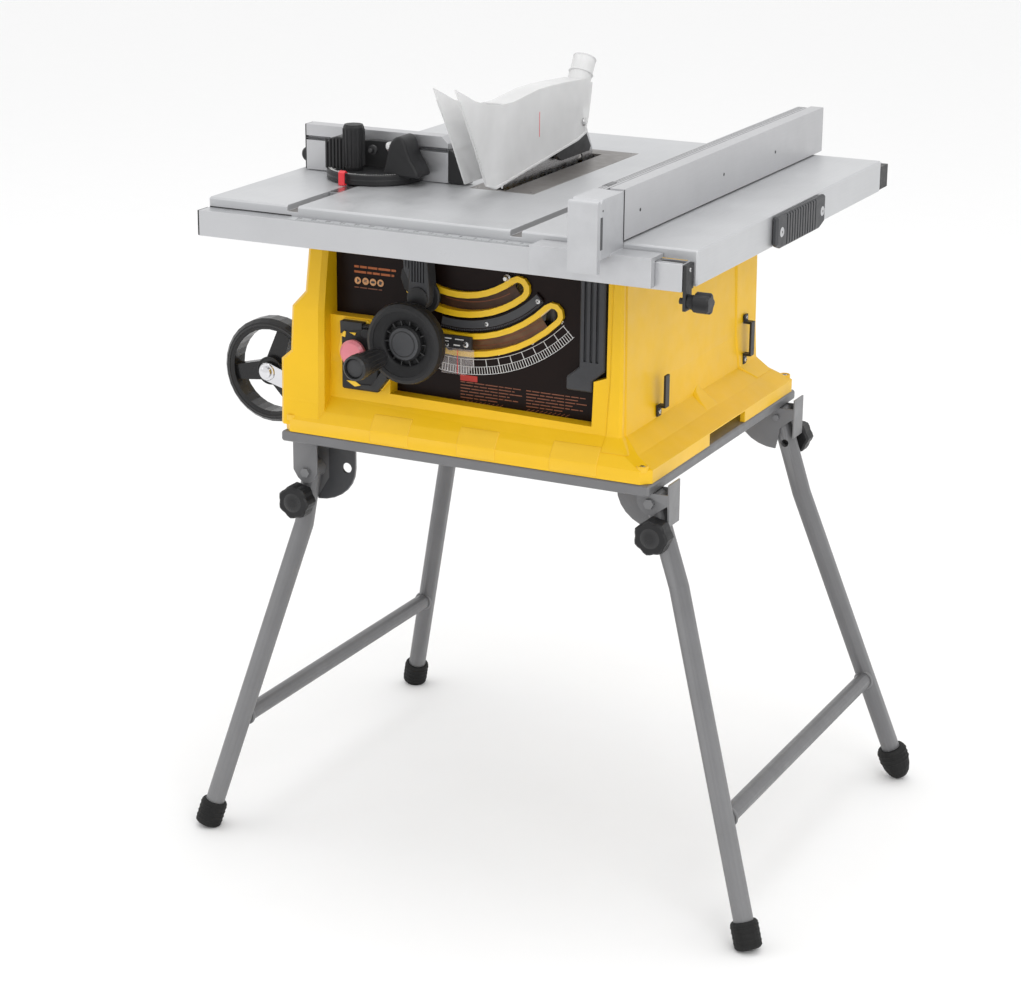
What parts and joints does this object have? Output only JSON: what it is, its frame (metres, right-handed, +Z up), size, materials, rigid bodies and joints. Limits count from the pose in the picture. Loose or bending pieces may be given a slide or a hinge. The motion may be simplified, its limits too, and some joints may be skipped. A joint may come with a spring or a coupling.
{
  "type": "table saw",
  "caption": "Jobsite table saw on a folding tube stand, with a rip fence, mitre gauge, clear blade guard, sliding table extension, bevel panel and transport wheels.",
  "frame": {"origin": "on the floor, under the middle of the whole saw's bounding box", "axes": "+Z up, +X towards the operator's right, where the table extends, +Y from the operator towards the outfeed side"},
  "size_m": [0.8482, 0.7406, 1.015],
  "materials": {
    "stand_frame": "satin powder coat",
    "bracket_front_left": "satin powder coat",
    "bracket_rear_left": "satin powder coat",
    "bracket_front_right": "satin powder coat",
    "bracket_rear_right": "satin powder coat",
    "housing": "satin moulded plastic",
    "front_panel": "near black",
    "slot_frame": "satin moulded plastic",
    "switch_box": "matt black",
    "storage_hook_front": "matt black",
    "storage_hook_rear": "matt black",
    "cord_gland": "matt black",
    "wheel_bracket": "bright plated",
    "wheel_axle": "bright plated",
    "table_top": "brushed",
    "throat_plate": "satin",
    "front_rail": "brushed",
    "rear_rail": "brushed",
    "trunnion_rear": "as cast",
    "left_leg_frame": "satin powder coat",
    "foot_front_left": "matt",
    "foot_rear_left": "matt",
    "right_leg_frame": "satin powder coat",
    "foot_front_right": "matt",
    "levelling_foot": "matt",
    "leg_knob_front_left": "matt black",
    "leg_knob_rear_left": "matt black",
    "leg_knob_front_right": "matt black",
    "leg_knob_rear_right": "matt black",
    "wheel_front": "matt black",
    "wheel_rear": "matt black",
    "tilt_carriage": "as cast",
    "splitter": "ground",
    "guard_mount": "matt black",
    "bevel_pointer": "matt black",
    "lift_slide": "as cast",
    "motor": "black",
    "blade": "ground",
    "arbor": "ground",
    "blade_guard": "clear plastic, slightly milky",
    "handwheel": "matt black",
    "crank_knob": "matt black",
    "bevel_lever": "dark grey",
    "extension_table": "brushed",
    "slide_bar_front": "black",
    "slide_bar_rear": "black",
    "carry_grip": "dark grey",
    "extension_knob": "matt black",
    "fence_body": "brushed",
    "fence_head": "brushed",
    "fence_lever": "brushed",
    "miter_bar": "ground",
    "miter_head": "matt black",
    "miter_fence": "brushed",
    "miter_fence_cap": "matt black",
    "miter_knob": "matt black",
    "push_stick": "dark grey",
    "stop_button": "red",
    "start_button": "green"
  },
  "bodies": {
    "base": {"stand_frame": "stand_frame", "bracket_front_left": "bracket_front_left", "bracket_rear_left": "bracket_rear_left", "bracket_front_right": "bracket_front_right", "bracket_rear_right": "bracket_rear_right", "housing": "housing", "front_panel": "front_panel", "slot_frame": "slot_frame", "switch_box": "switch_box", "storage_hook_front": "storage_hook_front", "storage_hook_rear": "storage_hook_rear", "cord_gland": "cord_gland", "wheel_bracket": "wheel_bracket", "wheel_axle": "wheel_axle", "table_top": "table_top", "throat_plate": "throat_plate", "front_rail": "front_rail", "rear_rail": "rear_rail", "trunnion_rear": "trunnion_rear"},
    "left_legs": {"left_leg_frame": "left_leg_frame", "foot_front_left": "foot_front_left", "foot_rear_left": "foot_rear_left"},
    "right_legs": {"right_leg_frame": "right_leg_frame", "foot_front_right": "foot_front_right"},
    "levelling_foot": {"levelling_foot": "levelling_foot"},
    "leg_knob_front_left": {"leg_knob_front_left": "leg_knob_front_left"},
    "leg_knob_rear_left": {"leg_knob_rear_left": "leg_knob_rear_left"},
    "leg_knob_front_right": {"leg_knob_front_right": "leg_knob_front_right"},
    "leg_knob_rear_right": {"leg_knob_rear_right": "leg_knob_rear_right"},
    "wheel_front": {"wheel_front": "wheel_front"},
    "wheel_rear": {"wheel_rear": "wheel_rear"},
    "bevel_carriage": {"tilt_carriage": "tilt_carriage", "splitter": "splitter", "guard_mount": "guard_mount", "bevel_pointer": "bevel_pointer"},
    "lift": {"lift_slide": "lift_slide", "motor": "motor"},
    "blade": {"blade": "blade", "arbor": "arbor"},
    "guard": {"blade_guard": "blade_guard"},
    "handwheel": {"handwheel": "handwheel"},
    "crank_knob": {"crank_knob": "crank_knob"},
    "bevel_lever": {"bevel_lever": "bevel_lever"},
    "extension": {"extension_table": "extension_table", "slide_bar_front": "slide_bar_front", "slide_bar_rear": "slide_bar_rear", "carry_grip": "carry_grip"},
    "extension_knob": {"extension_knob": "extension_knob"},
    "fence": {"fence_body": "fence_body", "fence_head": "fence_head"},
    "fence_lever": {"fence_lever": "fence_lever"},
    "miter_bar": {"miter_bar": "miter_bar"},
    "miter_head": {"miter_head": "miter_head", "miter_fence": "miter_fence", "miter_fence_cap": "miter_fence_cap"},
    "miter_knob": {"miter_knob": "miter_knob"},
    "push_stick": {"push_stick": "push_stick"},
    "stop_button": {"stop_button": "stop_button"},
    "start_button": {"start_button": "start_button"}
  },
  "joints": [
    {"name": "left_leg_fold", "type": "hinge", "parent": "base", "child": "left_legs", "pos_m": [-0.2539, 0.0178, 0.498], "axis": [0, -1, 0], "range_deg": [0, 82]},
    {"name": "right_leg_fold", "type": "hinge", "parent": "base", "child": "right_legs", "pos_m": [0.2342, 0.0178, 0.5314], "axis": [0, 1, 0], "range_deg": [0, 94]},
    {"name": "levelling_foot_turn", "type": "hinge", "parent": "right_legs", "child": "levelling_foot", "pos_m": [0.40798, 0.31039, 0.0022], "axis": [-0.3069, -0.1739, 0.9357], "continuous": true},
    {"name": "leg_knob_front_left_turn", "type": "hinge", "parent": "left_legs", "child": "leg_knob_front_left", "pos_m": [-0.26046, -0.1882, 0.462], "axis": [0, -1, 0], "continuous": true},
    {"name": "leg_knob_rear_left_turn", "type": "hinge", "parent": "left_legs", "child": "leg_knob_rear_left", "pos_m": [-0.26046, 0.2238, 0.462], "axis": [0, 1, 0], "continuous": true},
    {"name": "leg_knob_front_right_turn", "type": "hinge", "parent": "right_legs", "child": "leg_knob_front_right", "pos_m": [0.24608, -0.1962, 0.4954], "axis": [0, -1, 0], "continuous": true},
    {"name": "leg_knob_rear_right_turn", "type": "hinge", "parent": "right_legs", "child": "leg_knob_rear_right", "pos_m": [0.24608, 0.2318, 0.4954], "axis": [0, 1, 0], "continuous": true},
    {"name": "wheel_front_spin", "type": "hinge", "parent": "base", "child": "wheel_front", "pos_m": [-0.3544, -0.1122, 0.603], "axis": [0, 1, 0], "continuous": true},
    {"name": "wheel_rear_spin", "type": "hinge", "parent": "base", "child": "wheel_rear", "pos_m": [-0.3544, 0.1478, 0.603], "axis": [0, 1, 0], "continuous": true},
    {"name": "bevel_tilt", "type": "hinge", "parent": "base", "child": "bevel_carriage", "pos_m": [-0.0374, 0.0178, 0.871], "axis": [0, -1, 0], "range_deg": [0, 45]},
    {"name": "blade_lift", "type": "slide", "parent": "bevel_carriage", "child": "lift", "axis": [0, 0, 1], "range_m": [-0.08, 0]},
    {"name": "blade_spin", "type": "hinge", "parent": "lift", "child": "blade", "pos_m": [-0.0364, 0.0378, 0.817], "axis": [1, 0, 0], "continuous": true},
    {"name": "guard_hinge", "type": "hinge", "parent": "bevel_carriage", "child": "guard", "pos_m": [-0.0364, 0.1318, 0.924], "axis": [-1, 0, 0], "range_deg": [0, 38]},
    {"name": "handwheel_turn", "type": "hinge", "parent": "bevel_carriage", "child": "handwheel", "pos_m": [-0.08688, -0.2482, 0.69845], "axis": [0, 1, 0], "range_deg": [0, 720]},
    {"name": "crank_knob_spin", "type": "hinge", "parent": "handwheel", "child": "crank_knob", "pos_m": [-0.1174, -0.2488, 0.6795], "axis": [0, 1, 0], "continuous": true},
    {"name": "bevel_lever_turn", "type": "hinge", "parent": "bevel_carriage", "child": "bevel_lever", "pos_m": [-0.08209, -0.1922, 0.75084], "axis": [0, -1, 0], "range_deg": [0, 60]},
    {"name": "extension_slide", "type": "slide", "parent": "base", "child": "extension", "axis": [1, 0, 0], "range_m": [0, 0.25]},
    {"name": "extension_knob_turn", "type": "hinge", "parent": "extension", "child": "extension_knob", "pos_m": [0.319, -0.3122, 0.8125], "axis": [1, 0, 0], "continuous": true},
    {"name": "fence_slide", "type": "slide", "parent": "base", "child": "fence", "axis": [1, 0, 0], "range_m": [-0.17, 0.03]},
    {"name": "fence_lever_lift", "type": "hinge", "parent": "fence", "child": "fence_lever", "pos_m": [0.2116, -0.366, 0.9235], "axis": [-1, 0, 0], "range_deg": [0, 50]},
    {"name": "miter_slide", "type": "slide", "parent": "base", "child": "miter_bar", "axis": [0, 1, 0], "range_m": [-0.09, 0.15]},
    {"name": "miter_swivel", "type": "hinge", "parent": "miter_bar", "child": "miter_head", "pos_m": [-0.2099, -0.0892, 0.8696], "axis": [0, 0, 1], "range_deg": [-60, 60]},
    {"name": "miter_knob_turn", "type": "hinge", "parent": "miter_head", "child": "miter_knob", "pos_m": [-0.2244, -0.1222, 0.8835], "axis": [0, 0, 1], "continuous": true},
    {"name": "push_stick_pull", "type": "slide", "parent": "base", "child": "push_stick", "axis": [0, -1, 0], "range_m": [0, 0.06]},
    {"name": "stop_button_press", "type": "slide", "parent": "base", "child": "stop_button", "axis": [0, 1, 0], "range_m": [0, 0.0028], "stiffness_N_per_m": 300},
    {"name": "start_button_press", "type": "slide", "parent": "base", "child": "start_button", "axis": [0, 1, 0], "range_m": [0, 0.0025], "stiffness_N_per_m": 300}
  ],
  "couplings": [
    {"joint": "handwheel_turn", "follows": "blade_lift", "rad_per_m": -157.07}
  ]
}
